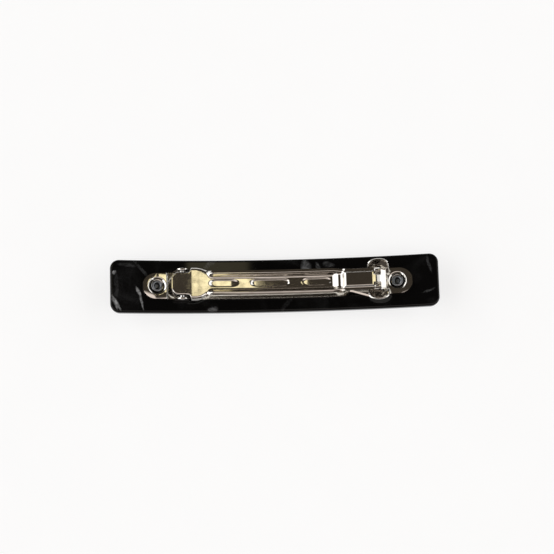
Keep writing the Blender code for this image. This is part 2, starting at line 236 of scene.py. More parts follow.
def cut(obj, bm, operation="DIFFERENCE"):
    """Cuts a closed bmesh out of an object, or joins it on, and keeps the result as its mesh."""
    tool = new_object("tool", bm)
    modifier = obj.modifiers.new("cut", "BOOLEAN")
    modifier.operation = operation
    modifier.solver = "EXACT"
    modifier.object = tool
    graph = bpy.context.evaluated_depsgraph_get()
    made = bpy.data.meshes.new_from_object(obj.evaluated_get(graph))
    obj.modifiers.clear()
    before = obj.data
    obj.data = made
    made.name = obj.name
    bpy.data.meshes.remove(before)
    bpy.data.meshes.remove(tool.data)
    made.shade_smooth()
    made.set_sharp_from_angle(angle=CREASE)


def rounded_sheet(grid, thickness, under=None, softness=WORN_EDGE):
    """A sheet with worn edges. grid is rows of points on its upper face, half a thickness inside the edge.

    The lower face is square below it, or is given as under. A softness of 1 makes the edges half-round,
    and a smaller one leaves them flatter.
    """
    points = np.array(grid)
    normal = np.cross(np.gradient(points, axis=0), np.gradient(points, axis=1))
    normal /= np.linalg.norm(normal, axis=2, keepdims=True)
    if normal[..., 2].sum() < 0:
        normal = -normal
    rows, columns = points.shape[:2]
    lower_points = points - normal * thickness if under is None else np.array(under)
    bm = bmesh.new()
    upper = [[bm.verts.new(p) for p in row] for row in points]
    lower = [[bm.verts.new(p) for p in row] for row in lower_points]
    for i in range(rows - 1):
        for j in range(columns - 1):
            bm.faces.new((upper[i][j], upper[i + 1][j], upper[i + 1][j + 1], upper[i][j + 1]))
            bm.faces.new((lower[i][j], lower[i][j + 1], lower[i + 1][j + 1], lower[i + 1][j]))
    rim = [(i, 0) for i in range(rows)] + [(rows - 1, j) for j in range(1, columns)]
    rim += [(i, columns - 1) for i in range(rows - 2, -1, -1)] + [(0, j) for j in range(columns - 2, 0, -1)]
    runs = [points[after] - points[before] for before, after in zip(rim[-1:] + rim, rim[1:] + rim[:1])]
    inwards = points[rows // 2, columns // 2] - points[rim[0]]
    sign = -1 if np.cross(runs[0], normal[rim[0]]) @ inwards > 0 else 1
    steps = 5
    rings = []
    for (i, j), run in zip(rim, runs):
        middle = (points[i, j] + lower_points[i, j]) / 2
        half = (points[i, j] - lower_points[i, j]) / 2
        out = np.cross(run, normal[i, j])
        out *= sign * np.linalg.norm(half) / np.linalg.norm(out)
        ring = [upper[i][j]]
        for t in [pi * s / steps for s in range(1, steps)]:
            rise = abs(cos(t)) ** softness * (1 if t < pi / 2 else -1)
            ring.append(bm.verts.new(middle + half * rise + out * sin(t) ** softness))
        rings.append(ring + [lower[i][j]])
    for first, second in zip(rings, rings[1:] + rings[:1]):
        for s in range(steps):
            bm.faces.new((first[s], first[s + 1], second[s + 1], second[s]))
    return bm


def loft(rows, strips=False):
    """A closed solid from equally long loops of points, one after the other.

    Its two ends are flat, or else rows of strips that join each point to the one opposite.
    """
    bm = bmesh.new()
    loops = [[bm.verts.new(point) for point in row] for row in rows]
    count = len(rows[0])
    for first, second in zip(loops, loops[1:]):
        for i in range(count):
            j = (i + 1) % count
            bm.faces.new((first[i], first[j], second[j], second[i]))
    for end in (loops[0], loops[-1]):
        if not strips:
            bm.faces.new(end)
            continue
        for i in range(count // 2 - 1):
            bm.faces.new((end[i], end[i + 1], end[-i - 2], end[-i - 1]))
    return bm


def turned(profile, sides, matrix):
    """A solid turned about z from a closed profile of (radius, height) points, then placed by a matrix."""
    bm = bmesh.new()
    turns = [2 * pi * i / sides for i in range(sides)]
    rings = []
    for radius, height in profile:
        if radius == 0:
            rings.append([bm.verts.new(matrix @ Vector((0, 0, height)))] * sides)
            continue
        places = [matrix @ Vector((radius * cos(t), radius * sin(t), height)) for t in turns]
        rings.append([bm.verts.new(place) for place in places])
    for first, second in zip(rings, rings[1:] + rings[:1]):
        for i in range(sides):
            j = (i + 1) % sides
            corners = list(dict.fromkeys((first[i], first[j], second[j], second[i])))
            if len(corners) > 2:
                bm.faces.new(corners)
    return bm


def bend(before, corner, after, reach, steps):
    """Points round a corner on a curve that starts and ends a reach from it, or less on a short leg."""
    back, onward = before - corner, after - corner
    size = min(reach, back.length * 0.45, onward.length * 0.45)
    start, end = corner + back.normalized() * size, corner + onward.normalized() * size
    shares = [i / steps for i in range(steps + 1)]
    return [start * (1 - t) ** 2 + corner * 2 * t * (1 - t) + end * t * t for t in shares]


def rounded(corners, radius):
    """A closed profile whose corners are rounded. A corner of (a, b, False) stays sharp."""
    points = [Vector(corner[:2]) for corner in corners]
    made = []
    for corner, before, point, after in zip(corners, points[-1:] + points, points, points[1:] + points[:1]):
        made += bend(before, point, after, radius, steps=4) if len(corner) == 2 else [point]
    return made


def rod(radius, start, end, x, n):
    """A round bar along Y with slightly domed ends, from y = start to y = end."""
    dome = radius * 0.28
    ends = [(radius * sin(t), dome * (1 - cos(t))) for t in (0, 0.5, 0.9, 1.2, 1.45, pi / 2)]
    profile = [(r, start + d) for r, d in ends] + [(r, end - d) for r, d in reversed(ends)]
    matrix = station(x, n) @ Matrix.Rotation(-pi / 2, 4, "X")
    return turned(profile, 48, matrix)


def rivet_hole(x, low, high):
    """A round cutter at a rivet's place, from height low to height high."""
    profile = [(0, low), (RIVET_HOLE_RADIUS, low), (RIVET_HOLE_RADIUS, high), (0, high)]
    return turned(profile, 48, station(x))


def pin_hole():
    """A cutter for the pin's hole through whatever turns on it or holds it."""
    return rod(PIN_RADIUS + PIN_CLEARANCE, -CUTTER_REACH, CUTTER_REACH, PIN_X, PIN_HEIGHT)


# ---------------------------------------------------------------- materials


class Nodes:
    """The node tree of a material or a world, and short ways to add the nodes that it needs."""

    def __init__(self, owner, shader):
        owner.use_nodes = True
        self.owner = owner
        self.tree = owner.node_tree
        self.shader = self.tree.nodes[shader]
        self.coordinates = self.add("TexCoord").outputs
        self.place = self.coordinates["Object"]

    def add(self, kind):
        return self.tree.nodes.new("ShaderNode" + kind)

    def link(self, value, socket):
        if isinstance(value, bpy.types.NodeSocket):
            self.tree.links.new(value, socket)
        elif isinstance(value, tuple):
            socket.default_value = (*value, 1)
        else:
            socket.default_value = value

    def axes(self, vector):
        node = self.add("SeparateXYZ")
        self.link(vector, node.inputs[0])
        return node.outputs

    def math(self, operation, *values, clamp=False):
        node = self.add("Math")
        node.operation = operation
        node.use_clamp = clamp
        for value, socket in zip(values, node.inputs):
            self.link(value, socket)
        return node.outputs[0]

    def stretch(self, scale):
        node = self.add("Mapping")
        node.inputs["Scale"].default_value = scale
        self.link(self.place, node.inputs["Vector"])
        return node.outputs[0]

    def noise(self, place, scale=1.0, detail=3.0, rough=0.55, distortion=0.0):
        node = self.add("TexNoise")
        self.link(place, node.inputs["Vector"])
        node.inputs["Scale"].default_value = scale
        node.inputs["Detail"].default_value = detail
        node.inputs["Roughness"].default_value = rough
        node.inputs["Distortion"].default_value = distortion
        return node.outputs[0]

    def ramp(self, value, low, high, bottom=0.0, top=1.0):
        node = self.add("MapRange")
        node.interpolation_type = "SMOOTHSTEP"
        self.link(value, node.inputs["Value"])
        for name, number in (("From Min", low), ("From Max", high), ("To Min", bottom), ("To Max", top)):
            node.inputs[name].default_value = number
        return node.outputs[0]

    def mix(self, share, first, second):
        node = self.add("Mix")
        node.data_type = "RGBA"
        for value, name in ((share, "Factor"), (first, "A"), (second, "B")):
            self.link(value, node.inputs[name])
        return node.outputs["Result"]

    def bump(self, height, strength, distance):
        node = self.add("Bump")
        node.inputs["Strength"].default_value = strength
        node.inputs["Distance"].default_value = distance
        self.link(height, node.inputs["Height"])
        return node.outputs[0]

    def set(self, **inputs):
        """Fills inputs of the shader, an underscore standing for a space, and returns the tree's owner."""
        for name, value in inputs.items():
            self.link(value, self.shader.inputs[name.replace("_", " ")])
        return self.owner


def material_nodes(name):
    return Nodes(bpy.data.materials.new(name), "Principled BSDF")


# The bright and dull tones of each metal, its least and greatest roughness, and what its rolling lines add
METALS = {
    "nickel_plate": ((0.80, 0.775, 0.73), (0.72, 0.69, 0.64), 0.05, 0.11, 0.05),
    "pin_steel": ((0.52, 0.51, 0.50), (0.40, 0.39, 0.38), 0.10, 0.18, 0.08),
    "spring_steel": ((0.60, 0.59, 0.57), (0.46, 0.45, 0.44), 0.12, 0.22, 0.10),
    "rivet_metal": ((0.24, 0.25, 0.265), (0.13, 0.14, 0.15), 0.26, 0.42, 0.08),
}


def metal(name, bright, dull, smooth, rough, grain):
    """Plated metal: cloudy tone, fine rolling lines, painted shade that darkens every steep face, and a faint
    orange peel.
    """
    nodes = material_nodes(name)
    clouds = nodes.noise(nodes.place, scale=420, detail=4)
    lines = nodes.noise(nodes.stretch((260, 5200, 5200)), detail=2, rough=0.7)
    peel = nodes.noise(nodes.place, scale=1500, detail=2)
    worn = nodes.ramp(nodes.add("NewGeometry").outputs["Pointiness"], 0.52, 0.62, 0.0, 0.4)
    upright = nodes.math("ABSOLUTE", nodes.axes(nodes.coordinates["Normal"])["Z"])
    # Painted shade: faces turned far from upright get a dark copy of the dull tone, which keeps their
    # reflections dim
    painted_steep_shade = nodes.ramp(upright, 0.50, 0.64, 0.9, 0.0)
    tone = nodes.mix(nodes.ramp(clouds, 0.35, 0.7), bright, dull)
    tone = nodes.mix(worn, tone, tuple(1.08 * c for c in bright))
    tone = nodes.mix(painted_steep_shade, tone, tuple(0.25 * c for c in dull))
    rolled = nodes.ramp(lines, 0.45, 0.75, 0.0, grain)
    roughness = nodes.math("ADD", nodes.ramp(clouds, 0.3, 0.75, smooth, rough), rolled)
    height = nodes.math("ADD", nodes.math("MULTIPLY", lines, 0.15), peel)
    normal = nodes.bump(height, 0.5, 0.0025 * MM)
    return nodes.set(Base_Color=tone, Metallic=1.0, Roughness=roughness, Normal=normal)


ACETATE_BLACK = (0.0022, 0.0022, 0.0023)
SMOKE_GREY = (0.34, 0.345, 0.35)
# Smoke in the acetate: x, y, half-length and half-width in millimetres, turn in degrees, and strength
SMOKE = (
    (-47.2, 4.0, 0.55, 0.45, 60, 1.0),
    (-43.5, 6.2, 2.6, 0.5, -12, 0.10),
    (-47.0, -5.0, 1.7, 0.36, -72, 1.0),
    (-46.2, -5.6, 1.6, 0.30, -66, 0.95),
    (-47.6, -4.4, 0.7, 0.3, -50, 0.5),
    (-40.6, -1.2, 1.3, 0.4, -62, 0.95),
    (-39.6, -4.2, 2.3, 0.32, -78, 0.9),
    (-38.8, 4.4, 3.0, 0.4, -50, 0.10),
    (-46.5, 0.0, 0.5, 3.6, 4, 0.07),
    (-44.0, -1.0, 4.5, 6.5, 0, 0.015),
    (-18.6, -6.9, 1.3, 0.6, 8, 0.40),
    (-19.5, 6.4, 1.7, 0.4, 32, 0.13),
    (9.4, 5.5, 1.3, 1.6, 10, 0.45),
    (13.2, 5.2, 0.5, 1.5, 28, 0.40),
    (16.4, 5.9, 1.4, 0.7, -10, 0.22),
    (3.5, -6.0, 4.0, 0.4, 50, 0.05),
    (45.2, -3.0, 1.6, 0.3, 24, 0.16),
    (46.0, 4.6, 0.35, 2.2, 14, 0.16),
)


def acetate(name):
    """Black acetate sheet: grey smoke in it, a deep polish, and the finest dust and hair scratches."""
    nodes = material_nodes(name)
    warp = nodes.noise(nodes.place, scale=230, detail=3)
    spread = nodes.math("MULTIPLY", nodes.math("SUBTRACT", warp, 0.5), 2.4)
    axes = nodes.axes(nodes.place)
    x = nodes.math("ADD", nodes.math("DIVIDE", axes["X"], MM), spread)
    y = nodes.math("SUBTRACT", nodes.math("DIVIDE", axes["Y"], MM), spread)
    total = 0.0
    for cx, cy, length, width, turn, strength in SMOKE:
        across, up = cos(radians(turn)), sin(radians(turn))
        dx, dy = nodes.math("SUBTRACT", x, cx), nodes.math("SUBTRACT", y, cy)
        along = nodes.math("MULTIPLY_ADD", dx, across / length, nodes.math("MULTIPLY", dy, up / length))
        aside = nodes.math("MULTIPLY_ADD", dy, across / width, nodes.math("MULTIPLY", dx, -up / width))
        far = nodes.math("ADD", nodes.math("POWER", along, 2.0), nodes.math("POWER", aside, 2.0))
        total = nodes.math("ADD", total, nodes.ramp(far, 0.0, 2.2, strength, 0.0))
    curls = nodes.noise(nodes.place, scale=520, detail=5, rough=0.6, distortion=1.2)
    wisps = nodes.ramp(curls, 0.32, 0.68, 0.25, 1.0)
    clouds = nodes.noise(nodes.place, scale=110, detail=3, distortion=0.8)
    haze = nodes.ramp(clouds, 0.5, 0.85, 0.0, 0.03)
    smoke = nodes.math("ADD", nodes.math("MULTIPLY", total, wisps), haze, clamp=True)
    tone = nodes.mix(smoke, ACETATE_BLACK, SMOKE_GREY)
    scratches = nodes.noise(nodes.stretch((900, 7000, 7000)), detail=2, rough=0.8)
    dust = nodes.noise(nodes.place, scale=3800, detail=2)
    dull = nodes.ramp(dust, 0.6, 0.8, 0.0, 0.05)
    roughness = nodes.math("ADD", nodes.ramp(scratches, 0.55, 0.8, 0.045, 0.10), dull)
    swell = nodes.noise(nodes.place, scale=90, detail=1)
    height = nodes.math("ADD", swell, nodes.math("MULTIPLY", scratches, 0.02))
    nodes.set(IOR=1.49, Specular_IOR_Level=0.3)
    return nodes.set(Base_Color=tone, Roughness=roughness, Normal=nodes.bump(height, 0.3, 0.01 * MM))


FLOOR_GLOW = 0.71


def floor_paper(name):
    """Pale studio paper with the slightest mottle."""
    nodes = material_nodes(name)
    mottle = nodes.noise(nodes.place, scale=60, detail=4)
    tone = nodes.mix(mottle, (0.32, 0.32, 0.32), (0.34, 0.34, 0.34))
    nodes.set(Emission_Color=(1.0, 1.0, 1.0), Emission_Strength=FLOOR_GLOW, Specular_IOR_Level=0.0)
    return nodes.set(Base_Color=tone, Roughness=nodes.ramp(mottle, 0.3, 0.7, 0.8, 0.9))


# ---------------------------------------------------------------- the bar


def bar_outline(inset):
    """The bar's plan outline, moved in by an inset: the far side left to right, then the near side back."""
    radius = BAR_CORNER - inset
    end = BAR_CHORD / 2 - inset
    side = BAR_WIDTH / 2 - inset
    corner = [(end - radius * (1 - cos(t)), side - radius * (1 - sin(t))) for t in quarter_turns(14)]
    straight = BAR_CHORD / 2 - BAR_CORNER
    cuts = [-straight + 2 * straight * i / BAR_CUTS for i in range(1, BAR_CUTS)]
    far = [(-x, y) for x, y in corner] + [(x, side) for x in cuts] + corner[::-1]
    return far + [(x, -y) for x, y in reversed(far)]


def acetate_bar(material):
    """The bowed bar, its front edge well rounded, with upright ends and a blind hole for each rivet."""
    turns = quarter_turns(9)
    rings = [(BACK_ROUND * (1 - sin(t)), BACK_ROUND * (cos(t) - 1)) for t in turns]
    for t in reversed(turns):
        rings.append((FRONT_ROUND * (1 - sin(t)), FRONT_ROUND_HEIGHT * (1 - cos(t)) - BAR_THICKNESS))
    loops = []
    for inset, n in rings:
        upright = BAR_RADIUS / (BAR_RADIUS - n)
        loops.append([on_bar(x * upright, y, n) for x, y in bar_outline(inset)])
    bm = loft(loops, strips=True)
    obj = new_piece("bar_of_black_acetate", bm, "root", material, "acetate_bar")
    for x in (RIVET_LEFT, RIVET_RIGHT):
        cut(obj, rivet_hole(x, -RIVET_HOLE_DEPTH, 1 * MM))


# ---------------------------------------------------------------- the base plate

# The plate's half-width and the height of its top at places along x, in millimetres
BASE_SIDES = (
    (-39.1, 3.85),
    (-32.6, 3.85),
    (-30.9, 4.0),
    (20.6, 4.0),
    (22.2, 2.7),
    (22.8, 2.7),
    (28.1, 4.4),
    (32.0, 4.2),
    (34.5, 3.85),
    (40.9, 3.85),
)
BASE_LEVELS = ((-39.1, 1.3), (-34.5, 1.3), (-32.2, 1.44), (-31.9, 0.8), (32.4, 0.8), (33.6, 1.4), (40.9, 1.4))


def base_half_width(x):
    """Half the width of the base plate: round pads, a straight strip, and a waist before the latch."""
    for end, towards in ((BASE_LEFT, 1), (BASE_RIGHT, -1)):
        depth = (x - end) * towards
        if depth < PAD_HALF_WIDTH:
            return sqrt(max(0.0, PAD_HALF_WIDTH**2 - (PAD_HALF_WIDTH - depth) ** 2))
    return eased(BASE_SIDES, x / MM, 0.5)[0] * MM


def base_top(x, y):
    """The height of the plate's top face: two dished pads with falling rims, and a lower strip."""
    height = eased(BASE_LEVELS, x / MM, 0.12)[0] * MM
    pads = (RIVET_LEFT, BASE_LEFT, 1, LEFT_PAD_FALL), (RIVET_RIGHT, BASE_RIGHT, -1, RIGHT_PAD_FALL)
    for centre, end, towards, fall in pads:
        away = sqrt((x - centre) ** 2 + y * y)
        dish = smooth_step(DISH_FLOOR_RADIUS, DISH_RADIUS, away)
        beyond = min(0.0, (x - end) * towards - PAD_HALF_WIDTH)
        rim = max(0.0, sqrt(beyond**2 + y * y) - DISH_FLOOR_RADIUS) / (PAD_HALF_WIDTH - DISH_FLOOR_RADIUS)
        share = max(0.0, height - BASE_TOP) / (PAD_TOP - BASE_TOP)
        if share > 0 and (x - centre) * towards < PAD_REACH:
            height -= fall * rim**2 * share * smooth_step(*PAD_FALL_EASE, -beyond)
            height = BASE_TOP + (height - BASE_TOP) * dish
    if FLARE_START < x < FLARE_END:
        margin = base_half_width(x) - abs(y)
        height -= FLARE_FALL * max(0.0, 1 - margin / FLARE_MARGIN)
    return height


def base_plate(material):
    """The strip with its dished rivet seats, its swaged sides and the ears that hold the hinge pin."""
    # Rows of points are close together at the round ends, in the dishes, at the steps and along the flare
    half = SHEET / 2
    ends = [PAD_HALF_WIDTH * (1 - cos(t)) + half for t in quarter_turns(16)]
    xs = {BASE_LEFT + step for step in ends} | {BASE_RIGHT - step for step in ends}
    for centre in (RIVET_LEFT, RIVET_RIGHT):
        xs |= {centre + 0.14 * MM * i for i in range(-30, 31)}
    xs |= {x * MM for x in np.arange(-33.0, -31.0, 0.05)} | {x * MM for x in np.arange(18.5, 35.0, 0.2)}
    xs |= {x * MM for x in np.arange(-31.0, 18.5, 0.8)}
    xs = sorted(x for x in xs if BASE_LEFT + half <= x <= BASE_RIGHT - half)
    grid = []
    for x in xs:
        width = max(0.35 * MM, base_half_width(x) - half)
        grid.append([on_bar(x, y, base_top(x, y)) for y in even_places(width, 56)])
    bm = rounded_sheet(grid, SHEET, softness=CRISP_EDGE)
    obj = new_piece("stamped_base_plate", bm, "root", material, "base_plate")
    for x in (RIVET_LEFT, RIVET_RIGHT):
        cut(obj, rivet_hole(x, -1 * MM, 2 * MM))
    for side in (-1, 1):
        cut(obj, hinge_ear(side), "UNION")
    cut(obj, pin_hole())


def hinge_ear(side):
    """A lug folded up from the edge of the base plate, with a round top."""
    middle = (EAR_INSIDE + EAR_OUTSIDE) / 2
    thickness = EAR_OUTSIDE - EAR_INSIDE
    foot = REST_GAP + SHEET * 0.4
    path = [(middle - EAR_BEND - 0.5 * MM, foot)]
    path += [(middle - EAR_BEND * (1 - sin(t)), foot + EAR_BEND * (1 - cos(t))) for t in quarter_turns(8)]
    start = foot + EAR_BEND
    path += [(middle, start + (PIN_HEIGHT - start) * i / 8) for i in range(1, 9)]
    rise = EAR_RADIUS - thickness / 2
    path += [(middle, PIN_HEIGHT + rise * sin(t)) for t in quarter_turns(16)[1:]]
    grid = []
    for y, n in path:
        if n <= PIN_HEIGHT:
            share = (n - foot) / (PIN_HEIGHT - foot)
            width = EAR_FOOT / 2 + (EAR_RADIUS - EAR_FOOT / 2) * share
        else:
            width = sqrt(max(0.0, EAR_RADIUS**2 - (n - PIN_HEIGHT) ** 2))
        width = max(0.2 * MM, width - thickness / 2)
        outer = y + thickness / 2
        grid.append([station(PIN_X) @ Vector((x, side * outer, n)) for x in even_places(width, 24)])
    return rounded_sheet(grid, thickness)


# ---------------------------------------------------------------- rivets, pin and spring


def rivet(name, node, x, material):
    """A tubular rivet: a rolled head with a dimpled bore, over a shank in the bar's blind hole."""
    corners = [
        (0, SHANK_FOOT, False),
        (SHANK_RADIUS, SHANK_FOOT),
        (SHANK_RADIUS, HEAD_UNDERSIDE, False),
        (HEAD_RADIUS, HEAD_UNDERSIDE),
        (HEAD_RADIUS - 0.02 * MM, HEAD_UNDERSIDE + 0.14 * MM),
        (HEAD_RADIUS - 0.4 * MM, HEAD_TOP - 0.06 * MM),
        (BORE_RADIUS + 0.35 * MM, HEAD_TOP - 0.16 * MM),
        (BORE_RADIUS + 0.12 * MM, HEAD_TOP - 0.6 * MM),
        (BORE_RADIUS, HEAD_TOP - BORE_DEPTH),
        (0, HEAD_TOP - BORE_DEPTH, False),
    ]
    bm = turned(rounded(corners, 0.16 * MM), 56, station(x))
    new_piece(name, bm, "root", material, node, crease=radians(60))


def hinge_pin(material):
    """The pin through both ears, its peened ends standing a little proud of them."""
    bm = rod(PIN_RADIUS, *PIN_ENDS, PIN_X, PIN_HEIGHT)
    new_piece("peened_hinge_pin", bm, "root", material, "hinge_pin")


# The spring's leaf in millimetres: its height at places along x, and where it starts and ends
SPRING_BOW = (
    (-26.5, 3.06),
    (-24.0, 3.15),
    (-18.0, 3.35),
    (-8.0, 3.5),
    (4.0, 3.2),
    (13.0, 2.75),
    (19.0, 2.3),
    (21.5, 2.25),
)
SPRING_LEAF = (-26.3, 21.3)


def tension_spring(material):
    """A bowed leaf with an eye round the hinge pin. Its free end floats over the base plate."""
    pin = on_bar(PIN_X, 0, PIN_HEIGHT)
    eye = PIN_RADIUS + PIN_CLEARANCE
    turns = [EYE_START + EYE_SWEEP * i / 36 for i in range(37)]
    path = [pin + Vector((eye * cos(t), 0, eye * sin(t))) for t in turns]
    for x in np.linspace(*SPRING_LEAF, 56):
        path.append(on_bar(x * MM, 0, eased(SPRING_BOW, x, 1.5)[0] * MM))
    ys = even_places(SPRING_HALF_WIDTH - SPRING_SHEET / 2, 16)
    grid = [[p + Vector((0, y, 0)) for y in ys] for p in path]
    bm = rounded_sheet(grid, SPRING_SHEET)
    new_piece("bowed_tension_spring", bm, "tension_spring", material, "tension_spring")


# ---------------------------------------------------------------- the clasp arm

# The clasp arm from tail to lip: x, then across the arm the half-width and height of three folds: the
# edge of its floor, the top of its side, and its own edge. All are in millimetres. Past the folds the
# sheet hangs down as cheeks at the hinge, stands up and over as stiffening rails along the middle, and
# makes a lower ledge beside the raised panel at the latch.
ARM_STATIONS = (
    (-31.3, 1.4, 5.85, 1.6, 5.10, 1.75, 4.30),
    (-31.0, 2.2, 5.85, 2.4, 5.10, 2.5, 4.20),
    (-30.4, 3.0, 5.84, 3.1, 4.70, 3.2, 3.50),
    (-29.6, 3.35, 5.82, 3.42, 4.20, 3.5, 2.70),
    (-26.6, 3.35, 5.74, 3.42, 4.20, 3.5, 2.60),
    (-25.9, 3.5, 5.73, 3.55, 4.80, 3.60, 3.90),
    (-25.5, 4.1, 5.72, 4.65, 5.30, 4.92, 4.40),
    (-23.6, 4.1, 5.72, 4.65, 5.30, 4.92, 4.40),
    (-22.4, 3.8, 5.71, 4.40, 5.30, 4.68, 4.60),
    (-21.4, 3.2, 5.70, 3.85, 5.35, 4.20, 4.90),
    (-20.5, 2.3, 5.69, 3.00, 5.85, 3.70, 5.40),
    (-19.8, 1.85, 5.68, 2.88, 6.60, 3.58, 6.00),
    (-19.0, 1.75, 5.66, 2.80, 6.95, 3.66, 6.50),
    (-12.0, 1.75, 5.53, 2.80, 7.00, 3.66, 6.58),
    (17.5, 1.75, 5.30, 2.80, 7.00, 3.66, 6.58),
    (18.9, 1.85, 6.20, 2.75, 6.95, 3.50, 6.40),
    (20.1, 1.95, 6.30, 2.50, 6.90, 3.30, 6.70),
    (21.3, 2.00, 7.60, 2.25, 7.05, 3.20, 7.03),
    (29.3, 2.00, 7.60, 2.25, 7.05, 3.20, 7.03),
    (30.6, 2.20, 7.36, 2.45, 7.00, 3.20, 6.85),
    (32.0, 2.60, 6.80, 2.80, 6.60, 3.20, 6.30),
    (33.5, 2.40, 5.40, 2.60, 5.20, 2.90, 4.90),
)
# How far the rounding of its two inner folds reaches, on the upper and the lower face, and how much further
# it goes at the top of the rails
UPPER_REACHES = (0.45, 0.3)
LOWER_REACHES = (0.5, 0.2)
RAIL_SOFTNESS = 0.4
RAIL_END = (17.0, 20.0)
# The start and end of each bead pressed into its floor, and the lengths over which it deepens from them
BEADS = ((-20.3, -10.9, 1.2, 3.5), (-7.8, 4.7, 1.9, 1.5), (7.7, 17.4, 4.0, 4.5))
BEAD_HALF_WIDTH = 1.25
BEAD_END = 2.6
BEAD_EASE = 0.9
BEAD_DEPTH = 0.27


def bead_depth(x, y):
    """How far the arm's floor is pressed down, by three long round-ended beads that deepen inwards."""
    for start, end, lead, tail in BEADS:
        inside = min(max(x, start + BEAD_END), end - BEAD_END)
        away = ((x - inside) / BEAD_END) ** 2 + (y / BEAD_HALF_WIDTH) ** 2
        if away < 1:
            shallow = max(0.0, 1 - min((x - start) / lead, (end - x) / tail))
            return BEAD_DEPTH * smooth_step(0.0, 0.65, 1 - away) * (1 - BEAD_EASE * shallow**2)
    return 0.0


def filleted(corners, reaches, leg_steps, turn_steps):
    """Points along a run of straight legs, whose inner corners are rounded over a reach to each side."""
    points = []
    leave = corners[0]
    turns = zip(corners, corners[1:], corners[2:], reaches)
    curves = [bend(before, corner, after, reach, turn_steps) for before, corner, after, reach in turns]
    for curve, steps in zip([*curves, corners[-1:]], leg_steps):
        points += [leave + (curve[0] - leave) * i / steps for i in range(steps)] + curve[:-1]
        leave = curve[-1]
    return points + [leave]


def below(corners, distance):
    """The folds of a sheet's lower face, square below those of its upper face."""
    legs = [(second - first).normalized() for first, second in zip(corners, corners[1:])]
    squares = [Vector((leg.y, -leg.x)) for leg in legs]
    found = [corners[0] + squares[0] * distance]
    for corner, first, second in zip(corners[1:], squares, squares[1:]):
        found.append(corner + (first + second) * (distance / (1 + first @ second)))
    return found + [corners[-1] + squares[-1] * distance]


def arm_section(x):
    """The arm's upper and lower faces across x as (y, n) points in millimetres, with filleted folds."""
    values = eased(ARM_STATIONS, x, 0.28)
    corners = [Vector((0, values[1])), *(Vector(values[i : i + 2]) for i in (0, 2, 4))]
    corners[3] += (corners[2] - corners[3]).normalized() * SHEET / MM / 2
    soft = RAIL_SOFTNESS * (1 - smooth_step(*RAIL_END, x))
    upper_reaches = (UPPER_REACHES[0], UPPER_REACHES[1] + soft)
    faces = []
    for folds, reaches in ((corners, upper_reaches), (below(corners, SHEET / MM), LOWER_REACHES)):
        side = filleted(folds, reaches, leg_steps=(20, 5, 5), turn_steps=8)
        points = [(-p.x, p.y) for p in reversed(side[1:])] + [(p.x, p.y) for p in side]
        faces.append([(y, n - bead_depth(x, y)) for y, n in points])
    return faces


def clasp_arm(material):
    """The upper jaw: a pressed strip with cheeks on the pin and two windows for the latch prongs."""
    start, end = ARM_STATIONS[0][0] + 0.25, ARM_STATIONS[-1][0] - 0.25
    xs = [*np.arange(start, -18.0, 0.12), *np.arange(-18.0, 16.0, 0.24), *np.arange(16.0, end, 0.12), end]
    grids = [], []
    for x in xs:
        for grid, face in zip(grids, arm_section(float(x))):
            grid.append([on_bar(x * MM, y * MM, n * MM) for y, n in face])
    bm = rounded_sheet(grids[0], SHEET, under=grids[1], softness=CRISP_EDGE)
    obj = new_piece("pressed_clasp_arm", bm, "clasp_arm", material, "clasp_arm")
    cut(obj, pin_hole())
    place = station(LATCH_X)
    for side in (-1, 1):
        ends, edges = (-WINDOW_HALF_LENGTH, WINDOW_HALF_LENGTH), (WINDOW_INSIDE * side, WINDOW_OUTSIDE * side)
        corners = [(ends[0], edges[0]), (ends[1], edges[0]), (ends[1], edges[1]), (ends[0], edges[1])]
        outline = rounded(corners, WINDOW_CORNER)
        cut(obj, loft([[place @ Vector((x, y, n)) for x, y in outline] for n in WINDOW_HEIGHTS]))


# ---------------------------------------------------------------- the latch prongs


def finger_wing(matrix):
    """A dished wing whose free edge is an arch with a raised, curled border."""
    rows = 26
    edge = SHEET / 2
    grid = []
    for v in [i / rows for i in range(rows + 1)]:
        row = []
        for u in even_places(1, 34):
            reach = v * (WING_REACH - edge - WING_ARCH * (0.8 * u * u + 0.7 * u**10))
            width = (WING_LENGTH / 2 - edge) * (1 - WING_TAPER * v**6)
            border = max(abs(u) ** 10, v**11)
            lift = SHEET + WING_CURL * border * smooth_step(0.1, 0.45, v)
            row.append(matrix @ Vector((u * width, reach, lift)))
        grid.append(row)
    return rounded_sheet(grid, SHEET)


def latch_prong(name, node, side, material):
    """One half of the latch: a foot, an upright with a barb over the arm, and a finger wing."""
    inside = PRONG_OUTSIDE - SHEET
    foot_under = BASE_TOP + REST_GAP
    barb = PRONG_OUTSIDE + BARB_REACH
    corners = [
        (inside - PRONG_FOOT, foot_under),
        (PRONG_OUTSIDE, foot_under),
        (PRONG_OUTSIDE, BARB_UNDERSIDE),
        (barb, BARB_UNDERSIDE),
        (barb, BARB_UNDERSIDE + BARB_HEIGHT / 3),
        (PRONG_OUTSIDE, BARB_UNDERSIDE + BARB_HEIGHT),
        (inside, BARB_UNDERSIDE + BARB_HEIGHT),
        (inside, foot_under + SHEET),
        (inside - PRONG_FOOT, foot_under + SHEET),
    ]
    outline = rounded(corners, 0.14 * MM)
    centre = sum(outline, Vector((0, 0))) / len(outline)
    place = station(LATCH_X)
    half = PRONG_WIDTH / 2
    soft = 0.1 * MM
    rows = [(-half, soft), (-half + soft * 0.3, soft * 0.3), (-half + soft, 0)]
    rows += [(-x, inset) for x, inset in reversed(rows)]
    loops = []
    for x, inset in rows:
        shrunk = [p + (centre - p).normalized() * inset for p in outline]
        loops.append([place @ Vector((x, side * p.x, p.y)) for p in shrunk])
    obj = new_piece(name, loft(loops), node, material, node)
    hang = Matrix.Translation((WING_SHIFT, side * (inside + SHEET / 2), WING_ROOT_HEIGHT))
    turn_round = Matrix.Diagonal((1, side, 1, 1))
    tilt = Matrix.Rotation(WING_TILT, 4, "X")
    cut(obj, finger_wing(place @ hang @ turn_round @ tilt), "UNION")


